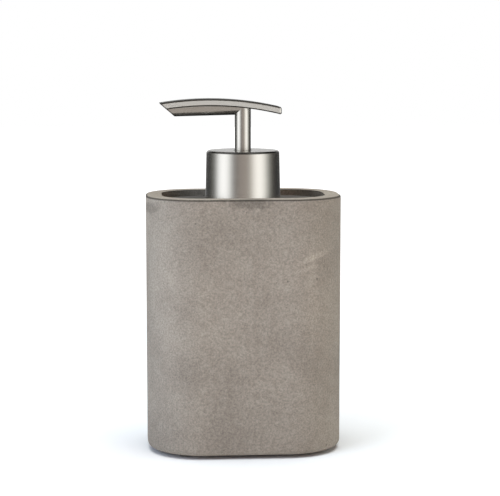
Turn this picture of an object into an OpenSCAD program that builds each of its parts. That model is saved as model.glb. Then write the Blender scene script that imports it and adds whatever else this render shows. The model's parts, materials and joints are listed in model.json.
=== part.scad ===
// Soap pump dispenser: a cast concrete pot, a lift-out inner bottle and a 28 mm screw-on lotion pump.
// Millimetres, +Z up. The origin is the middle of the footprint, on the surface that the feet stand on.
// +X is to the right of the user, the spout points along -X, and the front is -Y.

/* [Pot] */
// Width of the pot
body_w = 88; // [84:1:100]
// Depth of the pot
body_d = 60; // [56:1:66]
// Height of the pot without its feet
body_h = 114.5; // [105:0.5:140]
// Radius of the pot's upright corners
corner_r = 25; // [20:1:27]
// Thickness of the pot's wall
wall = 7.5; // [6:0.5:8]
// Thickness of the pot's floor
floor_t = 6; // [4:0.5:8]
// Rounding of the pot's rim and lower edge
edge_r = 1; // [0.5:0.1:1.5]
// Depth of the bottle's deck below the rim
recess = 2.8; // [2:0.1:4]

/* [Feet] */
// Diameter of a foot pad
foot_d = 9; // [7:0.5:12]
// Height of a foot pad
foot_h = 1.6; // [1:0.1:3]
// Distance of the pads from the middle, left and right
foot_x = 26; // [18:1:28]
// Distance of the pads from the middle, front and rear
foot_y = 18; // [12:1:18]

/* [Inner bottle] */
// Play between the bottle and the pot
bottle_gap = 0.4; // [0.3:0.05:0.6]
// Thickness of the bottle's wall
bottle_wall = 1.6; // [1.2:0.1:2]
// Thickness of the bottle's deck
deck_t = 2; // [1.6:0.1:3]
// Rounding of the bottle's outer edges
bottle_edge = 0.8; // [0.4:0.1:1.5]
// Height of the neck above the deck
neck_h = 16.5; // [16:0.1:17]
// Diameter of the neck at the root of its thread
neck_d = 25; // [24.8:0.1:25.2]
// Bore of the neck
neck_bore = 21.5; // [20:0.1:22]

/* [Thread] */
// Pitch, six turns to the inch
pitch = 4.233; // [4.233]
// Diameter over the neck's thread
thread_d = 27.4; // [27.2:0.1:27.6]
// Turns of thread on the neck, which are also the turns that free the collar
thread_turns = 1.5; // [1.25:0.05:1.5]

/* [Collar] */
// Diameter at the collar's top
collar_top_d = 33.1; // [33:0.1:34]
// Diameter at the collar's lower edge
collar_low_d = 34.1; // [34:0.1:35]
// Height of the collar
collar_h = 22.4; // [22:0.1:23]
// Rounding of the collar's top edge
collar_edge = 1.2; // [0.8:0.1:1.5]
// Thickness of the metal shell
shell_t = 0.6; // [0.4:0.1:0.8]

/* [Pump] */
// Bore of the barrel
barrel_bore = 12.4; // [12:0.1:12.6]
// Outer diameter of the barrel
barrel_d = 14.6; // [14.4:0.1:15]
// Travel of the head
stroke = 12; // [8:1:12]
// Diameter of the inlet ball
inlet_ball_d = 5; // [4.8:0.1:5]
// Diameter of the outlet ball
outlet_ball_d = 3.5; // [3.4:0.1:3.6]
// Travel of each ball off its seat
ball_lift = 1.2; // [0.8:0.1:1.2]
// Outer diameter of the dip tube
dip_d = 6; // [5.8:0.1:6.2]
// Distance of the dip tube's end from the bottle's floor
dip_gap = 1.8; // [1:0.1:4]
// Mean diameter of the spring
spring_d = 9.2; // [9:0.1:9.4]
// Thickness of the spring's wire
wire_d = 0.9; // [0.7:0.1:1]
// Turns of the spring, with one closed turn at each end
spring_turns = 8; // [6:1:8]

/* [Head] */
// Diameter of the stem tube and of the spout
tube_d = 7.3; // [7:0.1:8]
// Height of the spout's axis above the collar, at the stem
spout_rise = 19.7; // [19:0.1:21]
// Fall of the spout towards its outlet, in degrees
spout_fall = 1.4; // [0:0.1:3]
// Reach of the plate's tip from the stem's axis
tip_reach = 37.8; // [34:0.1:42]
// Reach of the plate's other end from the stem's axis
tail_reach = 17.2; // [14:0.1:20]
// Width of the lever plate
plate_w = 12; // [10:0.5:14]
// Thickness of the lever plate
plate_t = 3.25; // [2.5:0.05:4]
// Radius of the plate's upper face
plate_r = 139.3; // [120:1:160]
// Height of the plate's crown above the collar
crown_rise = 23.3; // [23:0.1:25]
// Distance of the crown from the stem's axis
crown_x = 15; // [12:0.5:18]
// Slope of the cut at the outlet, in degrees from level
outlet_cut = 41; // [35:1:60]

/* [Hidden] */
$fn = 96;
eps = 0.01;
play = 0.05;

// Pot and bottle
cavity_w = body_w - 2 * wall;
cavity_d = body_d - 2 * wall;
cavity_r = corner_r - wall;
pot_top = foot_h + body_h;
cavity_floor = foot_h + floor_t;
deck_z = pot_top - recess;
bottle_w = cavity_w - 2 * bottle_gap;
bottle_d = cavity_d - 2 * bottle_gap;
bottle_r = cavity_r - bottle_gap;
bottle_floor = cavity_floor + bottle_wall;
neck_top = deck_z + neck_h;

// Thread: both ridges follow one helix, and the closure's ridge lies below the neck's by thread_lag
thread_steps = 20;
thread_z = deck_z + 6.7;
neck_root_w = 2.2;
neck_crest_w = 1;
cap_bore = 28;
cap_crest_d = 25.7;
cap_root_w = 1.9;
cap_crest_w = 0.8;
cap_turns = 1.25;
thread_lag = 1.55;

// Collar, and the stack that it clamps on the neck
collar_z = deck_z + 0.2;
collar_top = collar_z + collar_h;
collar_taper = atan((collar_low_d - collar_top_d) / 2 / collar_h);
collar_hole_r = 4.35;
gasket_t = 1.2;
flange_r = 12.4;
flange_z = neck_top + gasket_t;
flange_top = flange_z + 1.6;
bushing_flange_top = flange_top + 1.2;
bushing_top = collar_top - 0.1;

// Seal and seat of the plunger, hanging below the bushing at rest
bushing_foot = flange_top - 13.1;
seal_top = bushing_foot - 0.1;
seal_h = 7;
seal_z = seal_top - seal_h;
seat_top = seal_z - 0.1;
seat_flange_z = seat_top - 2;
seat_z = seat_flange_z - 3;

// Barrel. Its floor leaves room for the valve cage and the closed spring under the pressed plunger.
barrel_r = barrel_d / 2;
bore_r = barrel_bore / 2;
pressed_room = 10.3;
seat_throat_r = 1.5;
seat_mouth_r = 4;
barrel_floor = seat_z - stroke - pressed_room;
seat_low = barrel_floor - (seat_mouth_r - seat_throat_r);
socket_top = seat_low - 2.5;
socket_h = 7.5;
socket_z = socket_top - socket_h;
socket_r = 4.2;

// Plunger's stem
stem_r = 3.2;
stem_neck_r = 2.55;
stem_bore_r = 1.2;
stem_top = collar_top + 5.6;
ball_chamber_r = 2.1;

// Balls rest on 45 degree cones, lifted by a hair so that they touch without cutting in
hair = 0.02;
inlet_r = inlet_ball_d / 2;
inlet_z = seat_low - seat_throat_r + inlet_r * sqrt(2) + hair;
outlet_r = outlet_ball_d / 2;
outlet_seat = stem_top - 5.6;
outlet_z = outlet_seat - stem_bore_r + outlet_r * sqrt(2) + hair;

// Valve cage and spring
cage_flange_t = 1.5;
cage_roof = inlet_z + inlet_r + ball_lift + 0.16;
cage_top = cage_roof + 1.1;
cage_r = 3.7;
spring_low = barrel_floor + cage_flange_t;
spring_high = seat_flange_z;
wire_sides = 6;
wire_steps = 16;

// Head
tube_r = tube_d / 2;
sleeve_r = 3.3;
sleeve_foot = collar_top - 7.9;
guide_r = tube_r + 0.07;
spout_z = collar_top + spout_rise;
crown_z = collar_top + crown_rise;
arc_z = crown_z - plate_r;
plate_low_r = plate_r - plate_t;
tip_z = arc_z + sqrt(pow(plate_r, 2) - pow(tip_reach - crown_x, 2));
mitre = 45 + spout_fall / 2;
liner_r = 2;
liner_bore_r = 1.4;
liner_drop = 1.2;

// ---- Shared shapes

// Oval outline: a rectangle with round corners
module oval(w, d, r) {
    square([w - 2 * r, d], center = true);
    square([w, d - 2 * r], center = true);
    for (x = [-1, 1], y = [-1, 1]) {
        translate([x * (w / 2 - r), y * (d / 2 - r)]) circle(r);
    }
}

// Upright prism on the oval outline
module oval_prism(w, d, r, z, h) {
    translate([0, 0, z]) linear_extrude(h) oval(w, d, r);
}

// Side view of a block w wide and h high whose four edges are rounded to e
module edged_face(w, h, e) {
    translate([-w / 2, e]) square([w, h - 2 * e]);
    translate([e - w / 2, 0]) square([w - 2 * e, h]);
    for (x = [-1, 1], y = [e, h - e]) {
        translate([x * (w / 2 - e), y]) circle(e);
    }
}

// Upright block on the oval outline, with its upper and lower edges rounded to e:
// a turned drum at each corner, and one slab each way between them
module oval_block(w, d, r, z, h, e) {
    translate([0, 0, z]) {
        for (x = [-1, 1], y = [-1, 1]) {
            translate([x * (w / 2 - r), y * (d / 2 - r), 0])
                rotate_extrude() intersection() {
                    edged_face(2 * r, h, e);
                    square([r, h]);
                }
        }
        translate([r - w / 2, 0, 0]) rotate([90, 0, 90]) linear_extrude(w - 2 * r) edged_face(d, h, e);
        translate([0, d / 2 - r, 0]) rotate([90, 0, 0]) linear_extrude(d - 2 * r) edged_face(w, h, e);
    }
}

// Ring or tube about the Z axis
module ring(outer, inner, z, h) {
    difference() {
        translate([0, 0, z]) cylinder(r = outer, h = h);
        translate([0, 0, z - eps]) cylinder(r = inner, h = h + 2 * eps);
    }
}

// Closed skin over a row of rings of points, each with the same number of points
module skin(rings) {
    n = len(rings[0]);
    last = len(rings) - 1;
    sides = [
        for (i = [0 : last - 1], j = [0 : n - 1])
            [i * n + j, i * n + (j + 1) % n, (i + 1) * n + (j + 1) % n, (i + 1) * n + j]
    ];
    start = [for (j = [n - 1 : -1 : 0]) j];
    end = [for (j = [0 : n - 1]) last * n + j];
    polyhedron([for (ring = rings) each ring], concat([start], sides, [end]));
}

// One ridge of thread. Its root is sunk in the wall, and its height fades in and out over the end steps.
module thread_ridge(root_r, crest_r, root_w, crest_w, z, turns) {
    steps = round(turns * thread_steps);
    fade = 4;
    sunk = 0.4 * sign(root_r - crest_r);
    function height(i) = max(0.1, min(1, i / fade, (steps - i) / fade));
    function at(r, a, h) = [r * cos(a), r * sin(a), h];
    function section(i) = let (
        a = i * 360 / thread_steps,
        h = z + pitch * i / thread_steps,
        r = root_r + (crest_r - root_r) * height(i),
        side = sign(crest_r - root_r)
    ) [
        at(root_r + sunk, a, h - side * root_w / 2),
        at(r, a, h - side * crest_w / 2),
        at(r, a, h + side * crest_w / 2),
        at(root_r + sunk, a, h + side * root_w / 2)
    ];
    skin([for (i = [0 : steps]) section(i)]);
}

// Half profile of the collar: a tapered side that runs tangent into a round top edge
module collar_profile(low_r, low_z, top_z, edge) {
    mid_z = top_z - edge;
    mid_r = low_r - (edge + (mid_z - low_z) * sin(collar_taper)) / cos(collar_taper);
    tangent = [mid_r + edge * cos(collar_taper), mid_z + edge * sin(collar_taper)];
    polygon([[0, low_z], [low_r, low_z], tangent, [mid_r, top_z], [0, top_z]]);
    translate([mid_r, mid_z]) circle(edge);
}

// Rod along the spout's axis, lowered by drop, from from_x to to_x
module spout_rod(r, drop, from_x, to_x) {
    translate([0, 0, spout_z - drop])
        rotate([0, -90 - spout_fall, 0])
            translate([0, 0, -to_x])
                cylinder(r = r, h = to_x - from_x);
}

// Everything below the lever plate's lower face
module under_plate(clear = 0) {
    translate([-crown_x, 0, arc_z])
        rotate([90, 0, 0])
            cylinder(r = plate_low_r - clear, h = 2 * plate_w, center = true, $fn = 720);
}

// Block that lies left of and above the mitre between the spout and the stem
module spout_side(shift = 0) {
    size = 60;
    translate([0, 0, spout_z])
        rotate([0, -mitre, 0])
            translate([-size, -size / 2, shift])
                cube([2 * size, size, size]);
}

// Block beyond the slanting cut at the outlet
module past_outlet(inset = 0) {
    size = 40;
    translate([-tip_reach, 0, tip_z])
        rotate([0, outlet_cut, 0])
            translate([-size / 2, -size / 2, -size - eps + inset])
                cube([2 * size, size, size]);
}

// ---- Pot and feet

module concrete_body() {
    color("#9a9187") difference() {
        oval_block(body_w, body_d, corner_r, foot_h, body_h, edge_r);
        oval_prism(cavity_w, cavity_d, cavity_r, cavity_floor, body_h);
    }
}

// Pad with a slightly rounded lower edge
module foot(x, y) {
    round_r = 0.4;
    color("#3a3836") translate([x * foot_x, y * foot_y, 0]) {
        translate([0, 0, round_r]) cylinder(d = foot_d, h = foot_h - round_r);
        cylinder(d = foot_d - 2 * round_r, h = foot_h / 2);
        translate([0, 0, round_r])
            rotate_extrude()
                translate([foot_d / 2 - round_r, 0])
                    circle(round_r);
    }
}

module foot_front_left() { foot(-1, -1); }
module foot_front_right() { foot(1, -1); }
module foot_rear_left() { foot(-1, 1); }
module foot_rear_right() { foot(1, 1); }

// ---- Inner bottle

// Outside of the bottle below its neck, which the cup and the deck share
module bottle_block() {
    oval_block(bottle_w, bottle_d, bottle_r, cavity_floor, deck_z - cavity_floor, bottle_edge);
}

module bottle_cup() {
    inner_w = bottle_w - 2 * bottle_wall;
    inner_d = bottle_d - 2 * bottle_wall;
    inner_r = bottle_r - bottle_wall;
    color("#8f8a84") difference() {
        bottle_block();
        oval_prism(inner_w, inner_d, inner_r, bottle_floor, body_h);
        oval_prism(bottle_w + 2, bottle_d + 2, bottle_r, deck_z - deck_t, deck_t + 1);
    }
}

// Deck with the threaded neck, welded on the cup's rim
module bottle_deck() {
    color("#8f8a84") {
        difference() {
            union() {
                difference() {
                    bottle_block();
                    oval_prism(bottle_w + 2, bottle_d + 2, bottle_r, 0, deck_z - deck_t);
                }
                translate([0, 0, deck_z - 1]) cylinder(d = neck_d, h = neck_h + 1);
            }
            translate([0, 0, deck_z - deck_t - 1]) cylinder(d = neck_bore, h = neck_h + deck_t + 2);
        }
        thread_ridge(neck_d / 2, thread_d / 2, neck_root_w, neck_crest_w, thread_z, thread_turns);
    }
}

// ---- Collar

module collar_shell() {
    inner_low_r = collar_low_d / 2 - shell_t / cos(collar_taper);
    color("#b9b4aa") difference() {
        rotate_extrude() intersection() {
            collar_profile(collar_low_d / 2, collar_z, collar_top, collar_edge);
            translate([0, collar_z]) square([collar_low_d, collar_h]);
        }
        rotate_extrude() intersection() {
            collar_profile(inner_low_r, collar_z, collar_top - shell_t, collar_edge - shell_t);
            translate([0, collar_z]) square([collar_low_d, collar_h]);
        }
        translate([0, 0, collar_top - 2]) cylinder(r = collar_hole_r, h = 4);
        translate([0, 0, collar_z - 1]) cylinder(r = inner_low_r, h = 1 + eps);
    }
}

module threaded_closure() {
    low_z = collar_z + 0.3;
    low_r = collar_low_d / 2 - shell_t / cos(collar_taper) - play;
    top_z = collar_top - shell_t - play;
    color("#dcdad5") {
        difference() {
            rotate_extrude() intersection() {
                collar_profile(low_r, collar_z, top_z, collar_edge - shell_t);
                translate([0, low_z]) square([collar_low_d, collar_h]);
            }
            translate([0, 0, low_z - 1]) cylinder(d = cap_bore, h = bushing_flange_top - low_z + 1);
            translate([0, 0, collar_top - 3]) cylinder(r = collar_hole_r, h = 4);
        }
        thread_ridge(cap_bore / 2, cap_crest_d / 2, cap_root_w, cap_crest_w,
            thread_z - thread_lag, cap_turns);
    }
}

// ---- Pump housing

module neck_gasket() {
    color("#e8e6e0") ring(flange_r, barrel_r + 0.3, neck_top, gasket_t);
}

module pump_cylinder() {
    vent_r = 0.6;
    color("#e4e2dc") difference() {
        union() {
            translate([0, 0, flange_z]) cylinder(r = flange_r, h = flange_top - flange_z);
            translate([0, 0, seat_low - 1]) cylinder(r = barrel_r, h = flange_top - seat_low);
            translate([0, 0, socket_z]) cylinder(r = socket_r, h = socket_h + 2);
        }
        translate([0, 0, barrel_floor]) cylinder(r = bore_r, h = flange_top);
        translate([0, 0, seat_low])
            cylinder(r1 = seat_throat_r, r2 = seat_mouth_r, h = barrel_floor - seat_low + eps / 2);
        translate([0, 0, socket_top - 1]) cylinder(r = seat_throat_r, h = seat_low - socket_top + 2);
        translate([0, 0, socket_z - 1]) cylinder(d = dip_d + play, h = socket_h + 1);
        translate([0, 0, seal_z + seal_h / 2])
            rotate([0, 90, 0])
                cylinder(r = vent_r, h = barrel_d);
    }
}

module guide_bushing() {
    relief_r = 4.4;
    guide_h = 6;
    color("#35332f") difference() {
        union() {
            translate([0, 0, bushing_foot]) cylinder(r = bore_r - 0.1, h = flange_top - bushing_foot + eps);
            translate([0, 0, flange_top]) cylinder(r = 9.5, h = bushing_flange_top - flange_top);
            translate([0, 0, flange_top]) cylinder(r = collar_hole_r - 0.1, h = bushing_top - flange_top);
        }
        translate([0, 0, bushing_foot - 1]) cylinder(r = relief_r, h = bushing_top - guide_h - bushing_foot + 1);
        translate([0, 0, bushing_foot]) cylinder(r = guide_r, h = bushing_top);
    }
}

module dip_tube() {
    low_z = bottle_floor + dip_gap;
    slant = 30;
    color("#eeece6") difference() {
        ring(dip_d / 2, dip_d / 2 - 1, low_z, socket_top - play - low_z);
        translate([dip_d / 2, 0, low_z])
            rotate([0, slant, 0])
                translate([-2 * dip_d, -dip_d, -2 * dip_d])
                    cube([4 * dip_d, 2 * dip_d, 2 * dip_d]);
    }
}

// Keeper of the inlet ball: a flange for the spring and a slotted tower over the ball
module valve_cage() {
    slot_w = 1.6;
    color("#d9d7d1") difference() {
        union() {
            translate([0, 0, barrel_floor]) cylinder(r = bore_r - 0.1, h = cage_flange_t);
            translate([0, 0, barrel_floor]) cylinder(r = cage_r, h = cage_top - barrel_floor);
        }
        translate([0, 0, barrel_floor - 1]) cylinder(r = inlet_r + 0.25, h = cage_roof - barrel_floor + 1);
        for (a = [0, 90]) {
            rotate([0, 0, a])
                translate([-cage_r - 1, -slot_w / 2, spring_low + 0.3])
                    cube([2 * cage_r + 2, slot_w, cage_roof - spring_low + 0.2]);
        }
        translate([0, 0, cage_roof - 1]) cylinder(r = 1, h = 4);
    }
}

// Coil spring: a loop of wire sections along a helix, with one closed turn at each end
module return_spring() {
    r = spring_d / 2;
    wire_r = wire_d / 2;
    closed = wire_d + 0.05;
    low = spring_low + wire_r + play;
    high = spring_high - wire_r - play;
    open_pitch = (high - low - 2 * closed) / (spring_turns - 2);
    function lift(t) = t < 1 ? low + closed * t
        : t > spring_turns - 1 ? high - closed * (spring_turns - t)
        : low + closed + open_pitch * (t - 1);
    function section(t) = [
        for (j = [0 : wire_sides - 1])
            let (b = j * 360 / wire_sides, s = r + wire_r * cos(b))
            [s * cos(360 * t), s * sin(360 * t), lift(t) + wire_r * sin(b)]
    ];
    color("#b4b4b4") skin([for (i = [0 : spring_turns * wire_steps]) section(i / wire_steps)]);
}

module inlet_ball() {
    color("#c4c4c4") translate([0, 0, inlet_z]) sphere(inlet_r);
}

module outlet_ball() {
    color("#c4c4c4") translate([0, 0, outlet_z]) sphere(outlet_r);
}

// ---- Plunger

module plunger_stem() {
    color("#e9e7e1") difference() {
        union() {
            translate([0, 0, bushing_foot]) cylinder(r = stem_r, h = stem_top - bushing_foot);
            translate([0, 0, seat_z + 1]) cylinder(r = stem_neck_r, h = bushing_foot - seat_z);
        }
        translate([0, 0, seat_z]) cylinder(r = stem_bore_r, h = stem_top);
        translate([0, 0, outlet_seat])
            cylinder(r1 = stem_bore_r, r2 = ball_chamber_r, h = ball_chamber_r - stem_bore_r);
        translate([0, 0, outlet_seat + ball_chamber_r - stem_bore_r - eps / 2])
            cylinder(r = ball_chamber_r, h = stem_top);
    }
}

// Seal with a wiping lip at each end
module piston_seal() {
    lip_r = bore_r - play;
    waist_r = lip_r - 0.6;
    inner_r = stem_neck_r + play;
    lip_h = 1.6;
    cup_r = 4.6;
    color("#cfd3d6") rotate_extrude() translate([0, seal_z]) polygon([
        [inner_r, 0], [cup_r - 0.6, 0], [cup_r - 0.6, 1.2], [cup_r + 0.4, 1.2], [lip_r - 0.7, 0],
        [lip_r, 0], [lip_r, lip_h], [waist_r, lip_h + 0.6], [waist_r, seal_h - lip_h - 0.6],
        [lip_r, seal_h - lip_h], [lip_r, seal_h], [inner_r, seal_h]
    ]);
}

module piston_seat() {
    hub_r = 3.6;
    color("#d9d7d1") difference() {
        union() {
            translate([0, 0, seat_flange_z]) cylinder(r = 5.3, h = seat_top - seat_flange_z);
            translate([0, 0, seat_z]) cylinder(r = hub_r, h = seat_top - seat_z);
        }
        translate([0, 0, seat_z + 1]) cylinder(r = stem_neck_r + hair, h = seat_top - seat_z);
        translate([0, 0, seat_z - 1]) cylinder(r = stem_bore_r, h = 3);
    }
}

// ---- Head

module stem_tube() {
    color("#b9b4aa") difference() {
        intersection() {
            ring(tube_r, sleeve_r, sleeve_foot, crown_z - sleeve_foot);
            under_plate();
        }
        spout_side();
        spout_rod(liner_r + play, liner_drop, -tip_reach, 0);
    }
}

module spout_tube() {
    color("#b9b4aa") difference() {
        intersection() {
            spout_rod(tube_r, 0, -tip_reach, tube_r * 2);
            under_plate();
            spout_side();
        }
        past_outlet();
        spout_rod(liner_r + play, liner_drop, -tip_reach, tube_r * 2);
    }
}

module lever_plate() {
    round_r = 1;
    length = tip_reach + tail_reach;
    color("#c2beb5") difference() {
        intersection() {
            translate([-crown_x, 0, arc_z])
                rotate([90, 0, 0])
                    cylinder(r = plate_r, h = plate_w, center = true, $fn = 720);
            translate([(tail_reach - tip_reach) / 2, 0, collar_top + 10])
                linear_extrude(20)
                    oval(length, plate_w, round_r);
        }
        under_plate();
        past_outlet();
        spout_rod(liner_r + play, liner_drop, -tip_reach, stem_bore_r);
    }
}

module nozzle_liner() {
    color("#e9e7e1") difference() {
        spout_rod(liner_r, liner_drop, -tip_reach, -0.6);
        spout_rod(liner_bore_r, liner_drop, -tip_reach - 1, 0);
        past_outlet(0.4);
    }
}

// Plug in the stem tube: it keeps the outlet ball in its chamber and leads the soap into the liner
module head_core() {
    plug_z = outlet_z + outlet_r + ball_lift + play;
    slot_w = 1;
    color("#e9e7e1") difference() {
        intersection() {
            union() {
                translate([0, 0, stem_top]) cylinder(r = stem_r, h = crown_z - stem_top);
                translate([0, 0, plug_z]) cylinder(r = ball_chamber_r - play, h = stem_top - plug_z + 1);
            }
            under_plate(play);
        }
        spout_side(-play);
        translate([0, 0, plug_z - 1]) cylinder(r = stem_bore_r, h = spout_z - liner_drop - plug_z + 1);
        translate([-stem_r, -slot_w / 2, plug_z - 1]) cube([2 * stem_r, slot_w, 1.8]);
        spout_rod(liner_r + play, liner_drop, -tip_reach, stem_bore_r);
    }
}

concrete_body();
foot_front_left();
foot_front_right();
foot_rear_left();
foot_rear_right();
bottle_cup();
bottle_deck();
collar_shell();
threaded_closure();
neck_gasket();
pump_cylinder();
guide_bushing();
plunger_stem();
piston_seal();
piston_seat();
return_spring();
valve_cage();
inlet_ball();
outlet_ball();
dip_tube();
stem_tube();
spout_tube();
lever_plate();
nozzle_liner();
head_core();
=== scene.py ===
# Soap pump dispenser: a cast concrete pot, a lift-out inner bottle and a brushed steel lotion pump.
# Sizes in the dictionaries are in millimetres and angles in degrees; Blender works in metres and radians.

import json
import math

import bmesh
import bpy
from mathutils import Matrix, Vector


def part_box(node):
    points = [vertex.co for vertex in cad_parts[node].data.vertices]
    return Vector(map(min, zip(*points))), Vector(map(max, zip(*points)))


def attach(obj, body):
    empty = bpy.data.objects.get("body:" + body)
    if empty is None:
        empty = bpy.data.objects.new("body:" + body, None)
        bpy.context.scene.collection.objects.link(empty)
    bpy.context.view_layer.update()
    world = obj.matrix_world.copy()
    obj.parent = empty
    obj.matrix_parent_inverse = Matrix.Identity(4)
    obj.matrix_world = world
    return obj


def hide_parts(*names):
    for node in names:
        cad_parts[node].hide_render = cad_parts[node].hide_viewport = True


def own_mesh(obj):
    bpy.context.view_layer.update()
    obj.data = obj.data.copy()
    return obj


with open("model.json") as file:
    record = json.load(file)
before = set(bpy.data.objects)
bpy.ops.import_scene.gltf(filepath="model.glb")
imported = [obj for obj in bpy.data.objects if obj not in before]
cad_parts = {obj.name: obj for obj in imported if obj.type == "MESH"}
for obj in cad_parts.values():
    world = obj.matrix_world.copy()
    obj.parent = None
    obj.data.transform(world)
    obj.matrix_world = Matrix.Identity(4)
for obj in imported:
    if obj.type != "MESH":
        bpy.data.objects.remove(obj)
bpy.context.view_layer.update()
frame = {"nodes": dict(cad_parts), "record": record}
nodes = frame["nodes"]
print("frame loaded")


def mm(value):
    return value / 1000


def linearColor(hexText):
    # sRGB hex, such as "#9a9187", to the linear colour that the shaders work in
    parts = [int(hexText[i:i + 2], 16) / 255 for i in (1, 3, 5)]
    linear = [c / 12.92 if c <= 0.04045 else ((c + 0.055) / 1.055) ** 2.4 for c in parts]
    return (*linear, 1)


def addNode(tree, kind, inputs=None, **settings):
    # Adds a node, sets its settings, and fills its input sockets or links them to other nodes
    node = tree.nodes.new(kind)
    for name, value in settings.items():
        setattr(node, name, value)
    for socket, value in (inputs or {}).items():
        if isinstance(value, bpy.types.Node):
            value = next(output for output in value.outputs if output.enabled)
        if isinstance(value, bpy.types.NodeSocket):
            tree.links.new(value, node.inputs[socket])
        else:
            node.inputs[socket].default_value = value
    return node


def newMaterial(name, **surface):
    # A material with its Principled shader; the keyword arguments are constants on the shader's sockets
    material = bpy.data.materials.new(name)
    material.use_nodes = True
    tree = material.node_tree
    shader = tree.nodes["Principled BSDF"]
    for socket, value in surface.items():
        shader.inputs[socket.replace("_", " ")].default_value = value
    place = addNode(tree, "ShaderNodeTexCoord").outputs["Object"]
    return material, tree, shader, place


concreteLook = {
    "dark": "#8c8378",
    "pale": "#9b9286",
    "bloom": "#ada69a",
    "cloudSize": 30,
    "patchSize": 5,
    "patchShare": 0.22,
    "sandSize": 0.74,
    "sandShade": 0.27,
    "sandRelief": 0.14,
    "stainSize": 15,
    "stainShade": 0.95,
    "streakSize": 2.6,
    "streakLength": 7,
    "streakShare": 0.22,
    "poreSpacing": 4.5,
    "poreSize": 0.42,
    "poreShade": 0.62,
    "poreDepth": 0.3,
    "arrisShade": 0.27,
    "cavityShade": 0.72,
    "raggedSize": 2.5,
}

# Spots on the paste, each with its middle, reach along each axis, turn about the depth axis, and shade on the
# paste: stains, pale streaks and bands, and a painted highlight on the left end
stainsAndPaintedSheen = [
    {"middle": (1, -28, 114.4), "reach": (12, 9, 2.9), "turn": 2, "shade": 0.68},
    {"middle": (-41, -12, 111.5), "reach": (6, 12, 2.8), "turn": -12, "shade": 0.73},
    {"middle": (29, -26, 90), "reach": (12, 8, 1.5), "turn": -21, "shade": 1.22},
    {"middle": (24, -28, 84.5), "reach": (8, 8, 1.1), "turn": -14, "shade": 1.16},
    {"middle": (29, -27, 72), "reach": (2.6, 9, 26), "turn": 0, "shade": 1.1},
    # painted highlight: the left softbox's sheen along the left end
    {"middle": (-35, -21, 68), "reach": (7, 12, 46), "turn": 0, "shade": 1.09},
    {"middle": (-26, -28, 40), "reach": (9, 9, 7), "turn": 20, "shade": 0.95},
    {"middle": (4, -28, 103), "reach": (36, 10, 13), "turn": 0, "shade": 0.93},
    {"middle": (-4, -28, 79), "reach": (34, 10, 11), "turn": -2, "shade": 1.06},
    {"middle": (8, -28, 15), "reach": (38, 12, 17), "turn": 0, "shade": 0.935},
    {"middle": (37, -18, 60), "reach": (8, 14, 27), "turn": 0, "shade": 1.09},
    {"middle": (-33, -24, 52), "reach": (5, 10, 18), "turn": 0, "shade": 1.05},
    {"middle": (14, 30, 104), "reach": (14, 8, 3.5), "turn": 8, "shade": 0.84},
]


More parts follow.
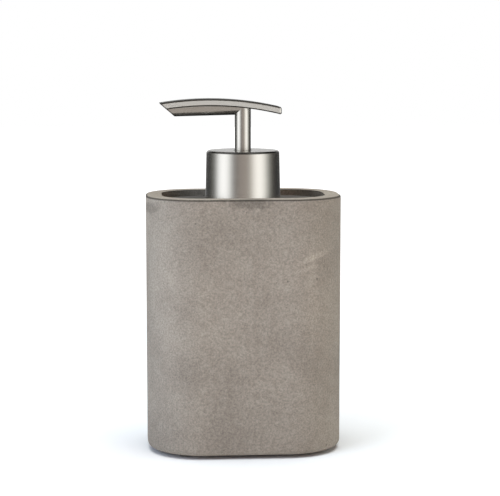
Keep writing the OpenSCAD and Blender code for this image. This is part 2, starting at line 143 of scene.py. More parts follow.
def castConcrete():
    # Cast cement with fine sand: fully matte, a cloudy paste with pale bloom, a sandy grain,
    # a few air pores, stains, painted shade along the rounded arrises and on the cavity's wall, and a painted
    # highlight on the left end
    look = concreteLook
    material, tree, shader, place = newMaterial("castConcrete", Roughness=0.93, IOR=1.5)
    clouds = addNode(tree, "ShaderNodeTexNoise", {
        "Vector": place, "Scale": 1 / mm(look["cloudSize"]), "Detail": 4, "Roughness": 0.55,
    })
    cloudShare = addNode(tree, "ShaderNodeMapRange", {"Value": clouds, "From Min": 0.36, "From Max": 0.64})
    tone = addNode(tree, "ShaderNodeMix", {
        0: cloudShare, 6: linearColor(look["dark"]), 7: linearColor(look["pale"]),
    }, data_type="RGBA")

    # pale bloom: soft patches, and streaks drawn out along the height of the mould
    patches = addNode(tree, "ShaderNodeTexNoise", {
        "Vector": place, "Scale": 1 / mm(look["patchSize"]), "Detail": 3, "Roughness": 0.6,
    })
    patchShare = addNode(tree, "ShaderNodeMapRange", {
        "Value": patches, "From Min": 0.45, "From Max": 0.75, "To Max": look["patchShare"],
    })
    bloom = linearColor(look["bloom"])
    tone = addNode(tree, "ShaderNodeMix", {0: patchShare, 6: tone, 7: bloom}, data_type="RGBA")
    drawnOut = addNode(tree, "ShaderNodeMapping", {
        "Vector": place, "Scale": (1, 1, 1 / look["streakLength"]),
    })
    streaks = addNode(tree, "ShaderNodeTexNoise", {
        "Vector": drawnOut, "Scale": 1 / mm(look["streakSize"]), "Detail": 3, "Roughness": 0.6,
    })
    streakShare = addNode(tree, "ShaderNodeMapRange", {
        "Value": streaks, "From Min": 0.56, "From Max": 0.78, "To Max": look["streakShare"],
    })
    tone = addNode(tree, "ShaderNodeMix", {0: streakShare, 6: tone, 7: bloom}, data_type="RGBA")

    # grey stains where the paste is denser
    stains = addNode(tree, "ShaderNodeTexNoise", {
        "Vector": place, "Scale": 1 / mm(look["stainSize"]),
        "Detail": 5, "Roughness": 0.65, "Distortion": 0.4,
    })
    stainShade = addNode(tree, "ShaderNodeMapRange", {
        "Value": stains, "From Min": 0.54, "From Max": 0.7, "To Min": 1.0, "To Max": look["stainShade"],
    })

    # sand: grains from light to dark
    sand = addNode(tree, "ShaderNodeTexNoise", {
        "Vector": place, "Scale": 1 / mm(look["sandSize"]), "Detail": 2, "Roughness": 0.75,
    })
    sandShade = addNode(tree, "ShaderNodeMapRange", {
        "Value": sand, "From Min": 0.3, "From Max": 0.7,
        "To Min": 1 - look["sandShade"], "To Max": 1 + look["sandShade"],
    })

    # pores: round pits, each of its own size, and none in about half of the cells
    cells = addNode(tree, "ShaderNodeTexVoronoi", {"Vector": place, "Scale": 1 / mm(look["poreSpacing"])})
    cellChance = addNode(tree, "ShaderNodeSeparateColor", {0: cells.outputs["Color"]})
    poreRadius = addNode(tree, "ShaderNodeMapRange", {
        "Value": cellChance.outputs["Red"], "From Min": 0.5,
        "To Min": 0.001, "To Max": look["poreSize"] / look["poreSpacing"],
    })
    poreReach = addNode(tree, "ShaderNodeMath", {
        0: cells.outputs["Distance"], 1: poreRadius,
    }, operation="DIVIDE")
    poreFloor = addNode(tree, "ShaderNodeMapRange", {"Value": poreReach, "From Min": 0.6, "From Max": 1.2})
    poreShade = addNode(tree, "ShaderNodeMapRange", {"Value": poreFloor, "To Min": look["poreShade"]})

    # arris: painted shade on the rounded edge, told by its slanting surface
    facing = addNode(tree, "ShaderNodeTexCoord").outputs["Normal"]
    upward = addNode(tree, "ShaderNodeSeparateXYZ", {0: facing}).outputs["Z"]
    rising = addNode(tree, "ShaderNodeMapRange", {"Value": upward, "From Min": 0.1, "From Max": 0.35})
    level = addNode(tree, "ShaderNodeMapRange", {"Value": upward, "From Min": 0.99, "From Max": 0.85})
    arris = addNode(tree, "ShaderNodeMath", {0: rising, 1: level}, operation="MULTIPLY")
    arrisShade = addNode(tree, "ShaderNodeMapRange", {
        "Value": arris, "To Min": 1.0, "To Max": look["arrisShade"],
    })

    # painted shade: the cavity's wall, which faces the middle, is darker
    outward = addNode(tree, "ShaderNodeVectorMath", {0: place, 1: (1, 1, 0)}, operation="MULTIPLY")
    outward = addNode(tree, "ShaderNodeVectorMath", {0: outward, 1: facing}, operation="DOT_PRODUCT")
    cavityShade = addNode(tree, "ShaderNodeMapRange", {
        "Value": outward.outputs["Value"], "From Min": mm(-9), "From Max": mm(-3),
        "To Min": look["cavityShade"], "To Max": 1.0,
    })

    # the stains, pale bands and painted highlight, each with a ragged outline
    ragged = addNode(tree, "ShaderNodeTexNoise", {
        "Vector": place, "Scale": 1 / mm(look["raggedSize"]), "Detail": 4, "Roughness": 0.65,
    })
    stainAndSheenShades = []
    for mark in stainsAndPaintedSheen:
        spot = addNode(tree, "ShaderNodeMapping", {
            "Vector": place, "Location": [mm(v) for v in mark["middle"]],
            "Rotation": (0, math.radians(mark["turn"]), 0), "Scale": [mm(v) for v in mark["reach"]],
        }, vector_type="TEXTURE")
        away = addNode(tree, "ShaderNodeVectorMath", {0: spot}, operation="LENGTH").outputs["Value"]
        frayed = addNode(tree, "ShaderNodeMath", {0: ragged, 1: 1.6, 2: away}, operation="MULTIPLY_ADD")
        stainAndSheenShades.append(addNode(tree, "ShaderNodeMapRange", {
            "Value": frayed, "From Min": 1.3, "From Max": 2.0, "To Min": mark["shade"], "To Max": 1.0,
        }, interpolation_type="SMOOTHSTEP"))

    for shade in (stainShade, sandShade, poreShade, arrisShade, cavityShade, *stainAndSheenShades):
        tone = addNode(tree, "ShaderNodeMix", {
            0: 1.0, 6: tone, 7: shade,
        }, data_type="RGBA", blend_type="MULTIPLY")
    tree.links.new(tone.outputs[2], shader.inputs["Base Color"])
    grit = addNode(tree, "ShaderNodeBump", {"Height": sand, "Distance": mm(look["sandRelief"])})
    pits = addNode(tree, "ShaderNodeBump", {
        "Height": poreFloor, "Distance": mm(look["poreDepth"]), "Normal": grit,
    })
    tree.links.new(pits.outputs[0], shader.inputs["Normal"])
    return material


def padRubber():
    # Moulded rubber: near black and matte, greyed by a little dust
    material, tree, shader, place = newMaterial("padRubber", Roughness=0.8, IOR=1.52)
    dust = addNode(tree, "ShaderNodeTexNoise", {"Vector": place, "Scale": 1 / mm(1.2), "Detail": 3})
    dusty = addNode(tree, "ShaderNodeMapRange", {"Value": dust, "From Min": 0.35, "From Max": 0.65})
    tone = addNode(tree, "ShaderNodeMix", {
        0: dusty, 6: linearColor("#272523"), 7: linearColor("#3b3835"),
    }, data_type="RGBA")
    tree.links.new(tone.outputs[2], shader.inputs["Base Color"])
    grip = addNode(tree, "ShaderNodeBump", {"Height": dust, "Distance": mm(0.05)})
    tree.links.new(grip.outputs[0], shader.inputs["Normal"])
    return material


def mouldedPlastic(name, hexText, roughness, shade=0.05, grainSize=0.6, transmission=0.0):
    # Injection moulded plastic: an even colour with a faint flow mottle, and a sparked mould's fine grain
    material, tree, shader, place = newMaterial(
        name, Roughness=roughness, IOR=1.49, Transmission_Weight=transmission,
    )
    along = addNode(tree, "ShaderNodeMapping", {"Vector": place, "Scale": (1, 1, 0.4)})
    flow = addNode(tree, "ShaderNodeTexNoise", {"Vector": along, "Scale": 1 / mm(9), "Detail": 2})
    mottle = addNode(tree, "ShaderNodeMapRange", {
        "Value": flow, "From Min": 0.3, "From Max": 0.7, "To Min": 1 - shade, "To Max": 1 + shade,
    })
    tone = addNode(tree, "ShaderNodeMix", {
        0: 1.0, 6: linearColor(hexText), 7: mottle,
    }, data_type="RGBA", blend_type="MULTIPLY")
    tree.links.new(tone.outputs[2], shader.inputs["Base Color"])
    spark = addNode(tree, "ShaderNodeTexNoise", {"Vector": place, "Scale": 1 / mm(grainSize), "Detail": 2})
    relief = addNode(tree, "ShaderNodeBump", {"Height": spark, "Distance": mm(0.012)})
    tree.links.new(relief.outputs[0], shader.inputs["Normal"])
    return material


def brushedSteel(name, stretch, hexText="#cac8c4", roughness=0.24, shade=0.025, lineSize=0.3,
                 paintedUnderShade=None, cut=None):
    # Stainless steel rubbed with a fine abrasive: a soft mirror, broken by streaks along the rub.
    # stretch is how many times longer than wide the streaks are, along each axis
    material, tree, shader, place = newMaterial(name, Metallic=1.0, Roughness=roughness)
    along = addNode(tree, "ShaderNodeMapping", {"Vector": place, "Scale": [1 / length for length in stretch]})
    lines = addNode(tree, "ShaderNodeTexNoise", {
        "Vector": along, "Scale": 1 / mm(lineSize), "Detail": 3, "Roughness": 0.6,
    })
    streak = addNode(tree, "ShaderNodeMapRange", {
        "Value": lines, "From Min": 0.3, "From Max": 0.7, "To Min": 1 - shade, "To Max": 1 + shade,
    })
    tone = addNode(tree, "ShaderNodeMix", {
        0: 1.0, 6: linearColor(hexText), 7: streak,
    }, data_type="RGBA", blend_type="MULTIPLY")
    facing = addNode(tree, "ShaderNodeTexCoord").outputs["Normal"]
    if paintedUnderShade:
        # painted shade: a dark line where the surface turns under
        upward = addNode(tree, "ShaderNodeSeparateXYZ", {0: facing}).outputs["Z"]
        shadow = addNode(tree, "ShaderNodeMapRange", {
            "Value": upward, "From Min": paintedUnderShade["full"], "From Max": paintedUnderShade["none"],
            "To Min": paintedUnderShade["shade"], "To Max": 1.0,
        })
        tone = addNode(tree, "ShaderNodeMix", {
            0: 1.0, 6: tone, 7: shadow,
        }, data_type="RGBA", blend_type="MULTIPLY")
    if cut:
        # a dark rim beside the sawn outlet, on the sides only
        inward = addNode(tree, "ShaderNodeVectorMath", {0: place, 1: cut["place"]}, operation="SUBTRACT")
        depth = addNode(tree, "ShaderNodeVectorMath", {0: inward, 1: cut["outward"]}, operation="DOT_PRODUCT")
        rim = addNode(tree, "ShaderNodeMapRange", {
            "Value": depth.outputs["Value"], "From Min": -mm(cut["width"]), "From Max": -mm(cut["width"]) / 2,
        })
        turned = addNode(tree, "ShaderNodeVectorMath", {
            0: facing, 1: cut["outward"],
        }, operation="DOT_PRODUCT")
        side = addNode(tree, "ShaderNodeMapRange", {
            "Value": turned.outputs["Value"], "From Min": 0.8, "From Max": 0.95, "To Min": 1.0, "To Max": 0.0,
        })
        rim = addNode(tree, "ShaderNodeMath", {0: rim, 1: side}, operation="MULTIPLY")
        rimShade = addNode(tree, "ShaderNodeMapRange", {"Value": rim, "To Min": 1.0, "To Max": cut["shade"]})
        tone = addNode(tree, "ShaderNodeMix", {
            0: 1.0, 6: tone, 7: rimShade,
        }, data_type="RGBA", blend_type="MULTIPLY")
    tree.links.new(tone.outputs[2], shader.inputs["Base Color"])
    gloss = addNode(tree, "ShaderNodeMapRange", {
        "Value": lines, "From Min": 0.3, "From Max": 0.7,
        "To Min": roughness - 0.03, "To Max": roughness + 0.03,
    })
    tree.links.new(gloss.outputs[0], shader.inputs["Roughness"])
    scratches = addNode(tree, "ShaderNodeBump", {"Height": lines, "Distance": mm(0.0015)})
    tree.links.new(scratches.outputs[0], shader.inputs["Normal"])
    return material


materials = {
    "concrete": castConcrete(),
    "pad_rubber": padRubber(),
    "bottle_plastic": mouldedPlastic("bottlePolypropylene", "#4f4b46", 0.66),
    "white_plastic": mouldedPlastic("pumpPolypropylene", "#dedcd6", 0.38),
    "dark_plastic": mouldedPlastic("bushingAcetal", "#2f2d2a", 0.35),
    "seal_plastic": mouldedPlastic("sealPolyethylene", "#c9ced1", 0.35),
    "clear_plastic": mouldedPlastic("tubePolyethylene", "#e9e7e0", 0.25, transmission=0.35),
    "gasket_foam": mouldedPlastic("gasketFoam", "#e3e0d9", 0.8, shade=0.08, grainSize=0.4),
    "spring_steel": brushedSteel("springSteel", (4, 4, 1), "#b9b9b9", 0.22),
    "ball_steel": brushedSteel("ballSteel", (1, 1, 1), "#c4c4c4", 0.12),
}


def outletCut():
    # The slanting plane at the outlet: a point on it, and the way it faces
    low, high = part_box("lever_plate")
    slope = math.radians(plateShape["cut"])
    radius = mm(plateShape["radius"])
    reach = low.x - mm(plateShape["crownX"])
    tip = Vector((low.x, 0, high.z - radius + math.sqrt(radius ** 2 - reach ** 2)))
    return {"place": tip, "outward": Vector((-math.sin(slope), 0, -math.cos(slope)))}


plateShape = {
    "crownX": -15,
    "radius": 139.3,
    "thickness": 3.25,
    "tailReach": 17.2,
    "cut": 41,
    "spare": 2.5,  # degrees of arc past each end, sawn off again
    "clearEnd": 1.5,  # no cross lines this near the sawn ends
    "steps": 48,
    "bevel": 0.9,  # the widest of the four edges below
    "topEdge": 0.75,
    "lowEdge": 0.55,
    "tailEdge": 0.9,
    "outletEdge": 0.35,
}
sawnRim = {**outletCut(), "width": 0.6, "shade": 0.3}
turnedSteel = brushedSteel("turnedSteel", (30, 30, 1))
# the spout's finish, with painted shade along its underside
drawnSteel = brushedSteel(
    "drawnSteel", (60, 1, 1), roughness=0.26, paintedUnderShade={"full": -0.97, "none": -0.6, "shade": 0.4}, cut=sawnRim,
)
satinSteel = brushedSteel("satinSteel", (60, 1, 1), "#eeeeec", 0.56, shade=0.06, cut=sawnRim)
# the plate's bevels, with a painted shadow line along the lower edge over the spout
edgeSteel = brushedSteel(
    "edgeSteel", (60, 1, 1), roughness=0.3, paintedUnderShade={"full": -0.3, "none": -0.02, "shade": 0.12}, cut=sawnRim,
)
print("materials made")


def finishPiece(name, bm, body, material, replaced, sharpAngle=32, bevelWidth=0, edgeMaterial=None,
                evenNormals=True):
    # Turns a bmesh into a smooth piece that rides on its body and stands for its CAD nodes
    for face in bm.faces:
        face.smooth = True
    for edge in bm.edges:
        edge.smooth = edge.calc_face_angle(0) < math.radians(sharpAngle)
    mesh = bpy.data.meshes.new(name)
    bm.to_mesh(mesh)
    bm.free()
    mesh.materials.append(material)
    piece = bpy.data.objects.new(name, mesh)
    bpy.context.scene.collection.objects.link(piece)
    if bevelWidth:
        mesh.materials.append(edgeMaterial)
        bevel = piece.modifiers.new("bevel", "BEVEL")
        bevel.material = 1
        bevel.width = mm(bevelWidth)
        bevel.segments = 4
        bevel.limit_method = "WEIGHT"
        bevel.use_clamp_overlap = False
    if evenNormals:
        normals = piece.modifiers.new("normals", "WEIGHTED_NORMAL")
        normals.keep_sharp = True
    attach(piece, body)
    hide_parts(*replaced)
    return piece


def weldedCopy(nodeName):
    # The CAD node's loose triangles as one closed skin, with flat regions as single faces
    bm = bmesh.new()
    bm.from_mesh(nodes[nodeName].data)
    bmesh.ops.remove_doubles(bm, verts=bm.verts[:], dist=mm(0.002))
    bmesh.ops.dissolve_limit(bm, angle_limit=math.radians(0.5), verts=bm.verts[:], edges=bm.edges[:])
    return bm


def lathe(bm, profile, steps):
    # Spins a closed outline of (radius, height) points about the Z axis
    verts = [bm.verts.new((mm(radius), 0, mm(height))) for radius, height in profile]
    edges = [bm.edges.new(pair) for pair in zip(verts, verts[1:] + verts[:1])]
    bmesh.ops.spin(
        bm, geom=verts + edges, cent=(0, 0, 0), axis=(0, 0, 1), angle=2 * math.pi, steps=steps,
        use_merge=True,
    )
    bmesh.ops.recalc_face_normals(bm, faces=bm.faces[:])


def roundEdges(bm, edges, radius, segments):
    bmesh.ops.bevel(
        bm, geom=edges, offset=mm(radius), offset_type="OFFSET", affect="EDGES",
        segments=segments, profile=0.5, material=-1,
    )


def ringEdges(bm, height, lowRadius, highRadius):
    # Edges that run round the Z axis at one height, between two radii
    def near(vert):
        radius = vert.co.xy.length
        return abs(vert.co.z - mm(height)) < mm(0.01) and mm(lowRadius) < radius < mm(highRadius)
    level = [e for e in bm.edges if near(e.verts[0]) and near(e.verts[1])]
    return [e for e in level if abs(e.verts[0].co.xy.length - e.verts[1].co.xy.length) < mm(0.01)]


potShape = {
    "cornerRadius": 25,
    "cornerSteps": 30,
    "straightCuts": 22,
    "wall": 7.5,
    "floor": 6,
    "topEdge": 1.0,
    "lowEdge": 2.2,
    "lip": 0.45,
}


def makePot():
    low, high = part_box("concrete_body")
    size = high - low
    bm = bmesh.new()
    bmesh.ops.create_grid(bm, x_segments=1, y_segments=1, size=0.5)
    bmesh.ops.scale(bm, vec=(size.x, size.y, 1), verts=bm.verts[:])
    bmesh.ops.translate(bm, vec=(0, 0, low.z), verts=bm.verts[:])
    bmesh.ops.bevel(
        bm, geom=bm.verts[:], offset=mm(potShape["cornerRadius"]), offset_type="OFFSET", affect="VERTICES",
        segments=potShape["cornerSteps"], profile=0.5, material=-1,
    )
    straight = [e for e in bm.edges if e.calc_length() > mm(8)]
    bmesh.ops.subdivide_edges(bm, edges=straight, cuts=potShape["straightCuts"])
    raised = bmesh.ops.extrude_face_region(bm, geom=bm.faces[:])["geom"]
    top = [g for g in raised if isinstance(g, bmesh.types.BMFace)]
    bmesh.ops.translate(bm, vec=(0, 0, size.z), verts=top[0].verts[:])
    bmesh.ops.inset_region(bm, faces=top, thickness=mm(potShape["wall"]), use_even_offset=True)
    sunk = bmesh.ops.extrude_discrete_faces(bm, faces=top)["faces"]
    bmesh.ops.translate(bm, vec=(0, 0, mm(potShape["floor"]) - size.z), verts=sunk[0].verts[:])
    bmesh.ops.recalc_face_normals(bm, faces=bm.faces[:])

    def flat(edge, height):
        return all(abs(v.co.z - height) < mm(0.01) for v in edge.verts)

    def outside(edge):
        # the outline's own edges turn about 90 degrees, and the flat rim's spokes don't turn at all
        return edge.calc_face_angle(0) > 1

    sharp = [e for e in bm.edges if outside(e) and (flat(e, low.z) or flat(e, high.z))]
    inner = set(sunk[0].verts)
    lip = [e for e in sharp if all(any(o.other_vert(v) in inner for o in v.link_edges) for v in e.verts)]
    rim = [e for e in sharp if e not in lip and flat(e, high.z)]
    foot = [e for e in sharp if flat(e, low.z)]
    roundEdges(bm, rim, potShape["topEdge"], 5)
    roundEdges(bm, [e for e in foot if e.is_valid], potShape["lowEdge"], 6)
    roundEdges(bm, [e for e in lip if e.is_valid], potShape["lip"], 3)
    print("pot closed", all(e.is_manifold for e in bm.edges))
    pot = finishPiece("pot", bm, "pot", materials["concrete"], ["concrete_body"])
    # the metal mirrors the softboxes down to the rim, not the dark recess
    pot.visible_glossy = False


makePot()


collarShape = {
    "topDiameter": 33.1,
    "sheet": 0.6,
    "hole": 8.7,
    "topEdge": 1.2,
    "lowEdge": 0.2,
    "steps": 192,
}


def makeCollar():
    low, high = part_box("collar_shell")
    lowZ = low.z * 1000
    topZ = high.z * 1000
    lowR = high.x * 1000
    sheet = collarShape["sheet"]
    topR = collarShape["topDiameter"] / 2
    hole = collarShape["hole"] / 2
    bm = bmesh.new()
    lathe(bm, [
        (lowR, lowZ), (topR, topZ), (hole, topZ), (hole, topZ - sheet),
        (topR - sheet, topZ - sheet), (lowR - sheet, lowZ),
    ], collarShape["steps"])
    roundEdges(bm, ringEdges(bm, topZ, topR - 0.1, topR + 0.1), collarShape["topEdge"], 8)
    roundEdges(bm, ringEdges(bm, lowZ, lowR - 0.1, lowR + 0.1), collarShape["lowEdge"], 2)
    roundEdges(bm, ringEdges(bm, topZ, hole - 0.1, hole + 0.1), collarShape["lowEdge"], 2)
    return finishPiece("collar", bm, "collar", turnedSteel, ["collar_shell"])


makeCollar()


def makePlate():
    shape = plateShape
    low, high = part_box("lever_plate")
    radius = mm(shape["radius"])
    centre = Vector((mm(shape["crownX"]), 0, high.z - radius))
    startTurn = math.asin((centre.x - low.x) / radius) + math.radians(shape["spare"])
    endTurn = math.asin((mm(shape["tailReach"]) - centre.x) / radius) + math.radians(shape["spare"])
    bm = bmesh.new()
    corners = [(low.y, 0), (high.y, 0), (high.y, -mm(shape["thickness"])), (low.y, -mm(shape["thickness"]))]
    verts = [bm.verts.new((centre.x, y, high.z + drop)) for y, drop in corners]
    edges = [bm.edges.new(pair) for pair in zip(verts, verts[1:] + verts[:1])]
    bmesh.ops.rotate(bm, cent=centre, matrix=Matrix.Rotation(-startTurn, 3, "Y"), verts=verts)
    bmesh.ops.spin(
        bm, geom=verts + edges, cent=centre, axis=(0, 1, 0), angle=startTurn + endTurn, steps=shape["steps"],
    )
    outlet = outletCut()
    ends = {
        "outletEdge": (outlet["place"], outlet["outward"]),
        "tailEdge": (Vector((mm(shape["tailReach"]), 0, 0)), Vector((1, 0, 0))),
    }
    for place, outward in ends.values():
        cut = bmesh.ops.bisect_plane(
            bm, geom=bm.verts[:] + bm.edges[:] + bm.faces[:], plane_co=place, plane_no=outward,
            clear_outer=True,
        )
        rim = [g for g in cut["geom_cut"] if isinstance(g, bmesh.types.BMEdge)]
        bmesh.ops.edgeloop_fill(bm, edges=rim)
    bmesh.ops.recalc_face_normals(bm, faces=bm.faces[:])

    def across(edge):
        # an edge over the width of the top or the underside, where the arc's strips meet
        reach = abs(edge.verts[0].co.y - edge.verts[1].co.y)
        return edge.calc_face_angle(0) < math.radians(5) and reach > mm(1)

    def nearEnd(edge):
        spot = edge.verts[0].co
        clear = mm(shape["clearEnd"])
        return any(abs((spot - place).dot(outward)) < clear for place, outward in ends.values())

    sides = [e for e in bm.edges if all(abs(f.normal.y) > 0.99 for f in e.link_faces)]
    bmesh.ops.dissolve_edges(bm, edges=sides, use_verts=False)
    bmesh.ops.dissolve_edges(bm, edges=[e for e in bm.edges if across(e) and nearEnd(e)], use_verts=True)
    weights = bm.edges.layers.float.new("bevel_weight_edge")
    middle = radius - mm(shape["thickness"]) / 2
    for edge in bm.edges:
        if edge.calc_face_angle(0) < math.radians(25):
            continue
        kind = "topEdge" if (edge.verts[0].co - centre).xz.length > middle else "lowEdge"
        for name, (place, outward) in ends.items():
            if all(abs((v.co - place).dot(outward)) < mm(0.01) for v in edge.verts):
                kind = name
        edge[weights] = shape[kind] / shape["bevel"]
    return finishPiece(
        "leverPlate", bm, "head", satinSteel, ["lever_plate"],
        bevelWidth=shape["bevel"], edgeMaterial=edgeSteel,
    )


def makeTubes():
    tubes = (("stem_tube", "stemTube", turnedSteel), ("spout_tube", "spoutTube", drawnSteel))
    for nodeName, pieceName, steel in tubes:
        finishPiece(pieceName, weldedCopy(nodeName), "head", steel, [nodeName])


makePlate()
makeTubes()
print("head made")


padShape = {"edge": 0.4, "dish": 0.25, "rim": 1.2, "steps": 64}


def makePads():
    # Round pads with soft edges and a shallow dish underneath
    for nodeName in ("foot_front_left", "foot_front_right", "foot_rear_left", "foot_rear_right"):
        low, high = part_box(nodeName)
        radius = (high.x - low.x) * 500
        height = (high.z - low.z) * 1000
        inside = radius - padShape["rim"]
        bm = bmesh.new()
        lathe(bm, [
            (0.001, padShape["dish"]), (inside, padShape["dish"]), (inside, 0),
            (radius, 0), (radius, height), (0.001, height),
        ], padShape["steps"])
        bmesh.ops.remove_doubles(bm, verts=bm.verts[:], dist=mm(0.01))
        for level in (0, height):
            roundEdges(bm, ringEdges(bm, level, radius - 0.1, radius + 0.1), padShape["edge"], 4)
        bmesh.ops.translate(bm, vec=((low.x + high.x) / 2, (low.y + high.y) / 2, low.z), verts=bm.verts[:])
        name = "".join(part.title() for part in nodeName.split("_")[1:])
        finishPiece("pad" + name, bm, "pot", materials["pad_rubber"], [nodeName])


makePads()


springShape = {
    "wire": 0.9, "wireSides": 12, "turns": 8, "stepsPerTurn": 32, "gap": 0.05,
    "stroke": 12,
    "floor": 86.5,  # where its fixed end stands
}


def makeSpring():
    # A round wire wound with one closed turn at each end
    shape = springShape
    low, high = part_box("return_spring")
    wireRadius = mm(shape["wire"]) / 2
    length = high.z - low.z
    closedPitch = mm(shape["wire"] + shape["gap"])
    openTurns = shape["turns"] - 2
    openPitch = (length - 2 * wireRadius - 2 * closedPitch) / openTurns
    bm = bmesh.new()
    wire = bmesh.ops.create_circle(bm, segments=shape["wireSides"], radius=wireRadius)["verts"]
    bmesh.ops.rotate(bm, cent=(0, 0, 0), matrix=Matrix.Rotation(math.pi / 2, 3, "X"), verts=wire)
    bmesh.ops.translate(bm, vec=(high.x - wireRadius, 0, low.z + wireRadius), verts=wire)
    section = bm.verts[:] + bm.edges[:]
    for turns, pitch in ((1, closedPitch), (openTurns, openPitch), (1, closedPitch)):
        steps = turns * shape["stepsPerTurn"]
        section = bmesh.ops.spin(
            bm, geom=section, cent=(0, 0, 0), axis=(0, 0, 1), dvec=(0, 0, pitch / shape["stepsPerTurn"]),
            angle=2 * math.pi * turns, steps=steps,
        )["geom_last"]
    bmesh.ops.holes_fill(bm, edges=[e for e in bm.edges if e.is_boundary])
    bmesh.ops.recalc_face_normals(bm, faces=bm.faces[:])
    print("spring closed", all(e.is_manifold for e in bm.edges))
    spring = finishPiece(
        "returnSpring", bm, "pump", materials["spring_steel"], ["return_spring"],
        evenNormals=False,
    )
    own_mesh(spring)


makeSpring()


mouldedNodes = [
    "bottle_cup", "bottle_deck", "threaded_closure", "neck_gasket", "pump_cylinder", "guide_bushing",
    "plunger_stem", "piston_seal", "piston_seat", "valve_cage", "inlet_ball", "outlet_ball", "dip_tube",
    "nozzle_liner", "head_core",
]


def makeMouldings():
    # The bottle, the closure and the pump's inner parts, each one smooth skin
    slots = {item["node"]: item["material_slot"] for item in frame["record"]["subparts"]}
    for body, bodyNodes in frame["record"]["behaviour"]["bodies"].items():
        for nodeName in bodyNodes:
            if nodeName not in mouldedNodes:
                continue
            first, *rest = nodeName.split("_")
            name = first + "".join(part.title() for part in rest)
            bm = weldedCopy(nodeName)
            slot = slots[nodeName]
            finishPiece(name, bm, body, materials[slot], [nodeName])


makeMouldings()
print("mouldings made")


stageLook = {"floor": "#f4f4f4", "floorSize": 6000, "near": 260, "far": 420, "nearShare": 0.0, "glow": 1.3}


def makeFloor():
    # White paper: lit by the lamps round the pot, and glowing white further out
    bpy.ops.mesh.primitive_plane_add(size=mm(stageLook["floorSize"]), location=(0, 0, 0))
    floor = bpy.context.object
    floor.name = "floor"
    material, tree, shader, place = newMaterial("paperFloor", Roughness=0.9)
    shader.inputs["Base Color"].default_value = linearColor(stageLook["floor"])
    shader.inputs["Specular IOR Level"].default_value = 0.0
    distance = addNode(tree, "ShaderNodeVectorMath", {0: place}, operation="LENGTH").outputs["Value"]
    away = addNode(tree, "ShaderNodeMapRange", {
        "Value": distance, "From Min": mm(stageLook["near"]), "From Max": mm(stageLook["far"]),
        "To Min": stageLook["nearShare"],
    })
    glow = addNode(tree, "ShaderNodeEmission", {"Color": (1, 1, 1, 1), "Strength": stageLook["glow"]})
    mixed = addNode(tree, "ShaderNodeMixShader", {0: away, 1: shader, 2: glow})
    tree.links.new(mixed.outputs[0], tree.nodes["Material Output"].inputs["Surface"])
    floor.data.materials.append(material)
    floor.visible_glossy = False


sideLamp = {"elevation": 20, "distance": 1.6, "size": (0.9, 1.4)}
studioLights = {
    "left": {**sideLamp, "azimuth": -54, "power": (11.2, 12.9, 16.0)},
    "sideLeft": {**sideLamp, "azimuth": -100, "power": (1.7, 1.8, 2.5)},
    "right": {**sideLamp, "azimuth": 40, "power": (3.6, 1.4, 0.3)},
    "sideRight": {**sideLamp, "azimuth": 85, "power": (4.8, 6.4, 7.0)},
    "top": {"azimuth": 0, "elevation": 88, "distance": 1.5, "size": (1.6, 1.6), "power": (34.8, 36.2, 36.5)},
}


def makeLights():
    target = Vector((0, 0, 0.08))
    for name, look in studioLights.items():
        az = math.radians(look["azimuth"])
        el = math.radians(look["elevation"])
        away = Vector((math.sin(az) * math.cos(el), -math.cos(az) * math.cos(el), math.sin(el)))
        data = bpy.data.lights.new(name, "AREA")
        data.shape = "RECTANGLE"
        data.size, data.size_y = look["size"]
        data.energy = max(look["power"])
        data.color = [watts / data.energy for watts in look["power"]]
        lamp = bpy.data.objects.new(name + "Light", data)
        lamp.location = target + away * look["distance"]
        lamp.rotation_euler = away.to_track_quat("Z", "Y").to_euler()
        lamp.visible_camera = False
        lamp.visible_glossy = False
        bpy.context.scene.collection.objects.link(lamp)


# What the metal mirrors, by direction: degrees from the front, to the right, and the colour's strength.
# Two white softboxes, a warm room between them, darkness beside them, and a white wall behind.
studioBands = [
    (-180, (0.8, 0.8, 0.8)), (-167, (0.8, 0.8, 0.8)), (-156, (0.15, 0.15, 0.15)),
    (-129, (0.09, 0.09, 0.09)), (-112, (0.23, 0.23, 0.21)), (-100, (0.55, 0.56, 0.55)),
    (-91, (1.0, 1.02, 1.02)), (-82, (1.45, 1.48, 1.5)), (-72, (1.72, 1.74, 1.76)),
    (-60, (1.7, 1.72, 1.74)), (-51, (1.48, 1.5, 1.5)), (-42, (0.92, 0.93, 0.93)),
    (-33, (0.45, 0.44, 0.43)), (-22, (0.31, 0.28, 0.26)), (-13, (0.43, 0.38, 0.35)),
    (6, (0.48, 0.43, 0.39)), (15, (0.56, 0.52, 0.47)), (24, (0.95, 0.92, 0.86)),
    (34, (1.45, 1.4, 1.33)), (43, (1.66, 1.64, 1.58)), (54, (1.66, 1.64, 1.58)),
    (65, (1.32, 1.3, 1.24)), (77, (0.72, 0.72, 0.68)), (90, (0.3, 0.3, 0.27)),
    (105, (0.13, 0.12, 0.11)), (125, (0.05, 0.05, 0.05)), (156, (0.15, 0.15, 0.15)),
    (167, (0.8, 0.8, 0.8)), (180, (0.8, 0.8, 0.8)),
]


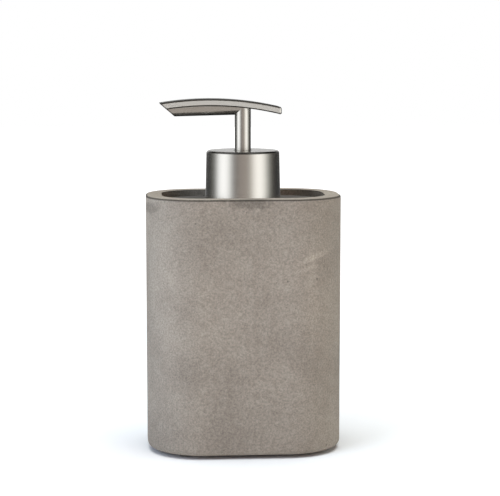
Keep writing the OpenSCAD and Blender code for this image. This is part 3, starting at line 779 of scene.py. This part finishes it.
def makeWorld():
    world = bpy.data.worlds.new("studio")
    bpy.context.scene.world = world
    world.use_nodes = True
    tree = world.node_tree
    tree.nodes.clear()
    direction = addNode(tree, "ShaderNodeTexCoord").outputs["Generated"]
    axes = addNode(tree, "ShaderNodeSeparateXYZ", {0: direction})
    toFront = addNode(tree, "ShaderNodeMath", {0: axes.outputs["Y"], 1: -1.0}, operation="MULTIPLY")
    azimuth = addNode(tree, "ShaderNodeMath", {0: axes.outputs["X"], 1: toFront}, operation="ARCTAN2")
    share = addNode(tree, "ShaderNodeMapRange", {"Value": azimuth, "From Min": -math.pi, "From Max": math.pi})
    ramp = addNode(tree, "ShaderNodeValToRGB", {0: share})
    stops = ramp.color_ramp.elements
    while len(stops) < len(studioBands):
        stops.new(0.5)
    for stop, (degrees, color) in zip(stops, studioBands):
        stop.position = degrees / 360 + 0.5
        stop.color = (*color, 1)
    overhead = addNode(tree, "ShaderNodeMapRange", {
        "Value": axes.outputs["Z"], "From Min": 0.22, "From Max": 0.45, "To Min": 1.0, "To Max": 0.12,
    })
    mirrored = addNode(tree, "ShaderNodeMix", {
        0: 1.0, 6: ramp, 7: overhead,
    }, data_type="RGBA", blend_type="MULTIPLY")
    rearward = addNode(tree, "ShaderNodeMapRange", {
        "Value": axes.outputs["Y"], "From Min": -0.1, "From Max": 0.25,
    })
    below = addNode(tree, "ShaderNodeMapRange", {
        "Value": axes.outputs["Z"], "From Min": 0.0, "From Max": -0.15,
    })
    underneath = addNode(tree, "ShaderNodeMath", {0: rearward, 1: below}, operation="MULTIPLY")
    mirrored = addNode(tree, "ShaderNodeMix", {
        0: underneath, 6: mirrored, 7: (0.04, 0.04, 0.04, 1),
    }, data_type="RGBA")
    path = addNode(tree, "ShaderNodeLightPath")
    seen = addNode(tree, "ShaderNodeMix", {
        0: path.outputs["Is Glossy Ray"], 6: (0, 0, 0, 1), 7: mirrored,
    }, data_type="RGBA")
    seen = addNode(tree, "ShaderNodeMix", {
        0: path.outputs["Is Camera Ray"], 6: seen, 7: (1, 1, 1, 1),
    }, data_type="RGBA")
    background = addNode(tree, "ShaderNodeBackground", {"Color": seen})
    addNode(tree, "ShaderNodeOutputWorld", {"Surface": background})


cameraPlace = {"location": (-0.0519, -0.7322, 0.182), "down": 0.12306, "yaw": -0.0752, "lens": 116.7}


def makeCamera():
    data = bpy.data.cameras.new("camera")
    data.sensor_width = 36
    data.lens = cameraPlace["lens"]
    camera = bpy.data.objects.new("camera", data)
    camera.location = cameraPlace["location"]
    camera.rotation_euler = (math.pi / 2 - cameraPlace["down"], 0, cameraPlace["yaw"])
    bpy.context.scene.collection.objects.link(camera)
    bpy.context.scene.camera = camera


makeFloor()
makeLights()
makeWorld()
makeCamera()
bpy.context.scene.view_settings.view_transform = "Standard"
print("stage made")

bpy.context.view_layer.update()
